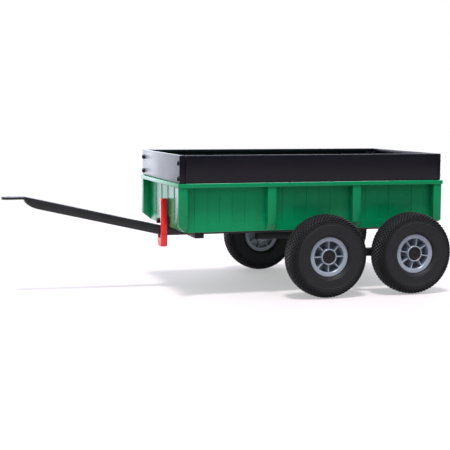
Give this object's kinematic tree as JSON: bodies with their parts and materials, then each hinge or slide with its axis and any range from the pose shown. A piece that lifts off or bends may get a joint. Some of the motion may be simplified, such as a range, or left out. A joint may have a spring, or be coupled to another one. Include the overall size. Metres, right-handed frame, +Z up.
{
  "type": "pedal go-kart trailer",
  "caption": "Tandem-axle tipping trailer for a pedal go-kart, with a plastic tub, black extension boards, a drop tailgate, a sloped drawbar and a red tipping lever.",
  "frame": {"origin": "on the ground, under the middle of the overall length and width, with the wheels on the ground and the tub down", "axes": "+X forward to the hitch, +Y to the trailer's left, +Z up"},
  "size_m": [1.3909, 0.727, 0.4419],
  "materials": {
    "tub_green": "moulded, satin",
    "board_black": "powder coated, satin black",
    "frame_black": "powder coated, satin black",
    "lever_red": "powder coated, gloss red",
    "tyre_rubber": "moulded rubber with a block tread",
    "tube_rubber": "butyl rubber",
    "rim_grey": "moulded grey plastic, satin",
    "plastic_black": "moulded black plastic",
    "bolt_black": "black oxide",
    "zinc": "zinc plated",
    "nylon": "natural nylon"
  },
  "bodies": {
    "chassis": {"drawbar": "frame_black", "outriggers": "frame_black", "outrigger_caps": "plastic_black", "hinge_tube": "frame_black", "hinge_plugs": "zinc", "hinge_rod": "zinc", "hinge_washers": "zinc", "hinge_collars": "zinc", "cross_beam": "frame_black", "saddle_bracket": "frame_black", "left_side_beam": "frame_black", "right_side_beam": "frame_black", "side_beam_caps": "plastic_black", "axle_front_left": "zinc", "axle_front_right": "zinc", "axle_rear_left": "zinc", "axle_rear_right": "zinc", "axle_washers": "zinc", "axle_nuts": "zinc", "lever_pin": "zinc"},
    "lever": {"tip_lever": "lever_red"},
    "tub": {"tub": "tub_green", "hinge_ears": "frame_black", "hinge_bolts": "zinc", "hinge_nuts": "zinc", "catch_plate": "frame_black", "catch_screws": "bolt_black", "corner_posts": "board_black", "front_board": "board_black", "rear_board": "board_black", "left_board": "board_black", "right_board": "board_black", "board_bolts": "bolt_black", "board_screws": "zinc", "gate_pins": "zinc"},
    "tailgate": {"tailgate": "tub_green", "bolt_guides": "plastic_black"},
    "left_gate_bolt": {"left_gate_bolt": "zinc"},
    "right_gate_bolt": {"right_gate_bolt": "zinc"},
    "wheel_front_left": {"tyre_front_left": "tyre_rubber", "inner_tube_front_left": "tube_rubber", "rim_front_left": "rim_grey", "bushes_front_left": "nylon", "cap_front_left": "plastic_black"},
    "wheel_front_right": {"tyre_front_right": "tyre_rubber", "inner_tube_front_right": "tube_rubber", "rim_front_right": "rim_grey", "bushes_front_right": "nylon", "cap_front_right": "plastic_black"},
    "wheel_rear_left": {"tyre_rear_left": "tyre_rubber", "inner_tube_rear_left": "tube_rubber", "rim_rear_left": "rim_grey", "bushes_rear_left": "nylon", "cap_rear_left": "plastic_black"},
    "wheel_rear_right": {"tyre_rear_right": "tyre_rubber", "inner_tube_rear_right": "tube_rubber", "rim_rear_right": "rim_grey", "bushes_rear_right": "nylon", "cap_rear_right": "plastic_black"}
  },
  "joints": [
    {"name": "tub_tip", "type": "hinge", "parent": "chassis", "child": "tub", "pos_m": [-0.5795, 0, 0.188], "axis": [0, -1, 0], "range_deg": [0, 45]},
    {"name": "lever_swing", "type": "hinge", "parent": "chassis", "child": "lever", "pos_m": [0.1825, 0, 0.18917], "axis": [0, 1, 0], "range_deg": [0, 25]},
    {"name": "tailgate_drop", "type": "hinge", "parent": "tub", "child": "tailgate", "pos_m": [-0.6635, 0, 0.2103], "axis": [0, -1, 0], "range_deg": [0, 90]},
    {"name": "left_bolt_slide", "type": "slide", "parent": "tailgate", "child": "left_gate_bolt", "axis": [0, 1, 0], "range_m": [0, 0.014]},
    {"name": "right_bolt_slide", "type": "slide", "parent": "tailgate", "child": "right_gate_bolt", "axis": [0, -1, 0], "range_m": [0, 0.014]},
    {"name": "spin_front_left", "type": "hinge", "parent": "chassis", "child": "wheel_front_left", "pos_m": [-0.2595, 0.321, 0.13], "axis": [0, 1, 0], "continuous": true},
    {"name": "spin_front_right", "type": "hinge", "parent": "chassis", "child": "wheel_front_right", "pos_m": [-0.2595, -0.321, 0.13], "axis": [0, 1, 0], "continuous": true},
    {"name": "spin_rear_left", "type": "hinge", "parent": "chassis", "child": "wheel_rear_left", "pos_m": [-0.5515, 0.321, 0.13], "axis": [0, 1, 0], "continuous": true},
    {"name": "spin_rear_right", "type": "hinge", "parent": "chassis", "child": "wheel_rear_right", "pos_m": [-0.5515, -0.321, 0.13], "axis": [0, 1, 0], "continuous": true}
  ]
}
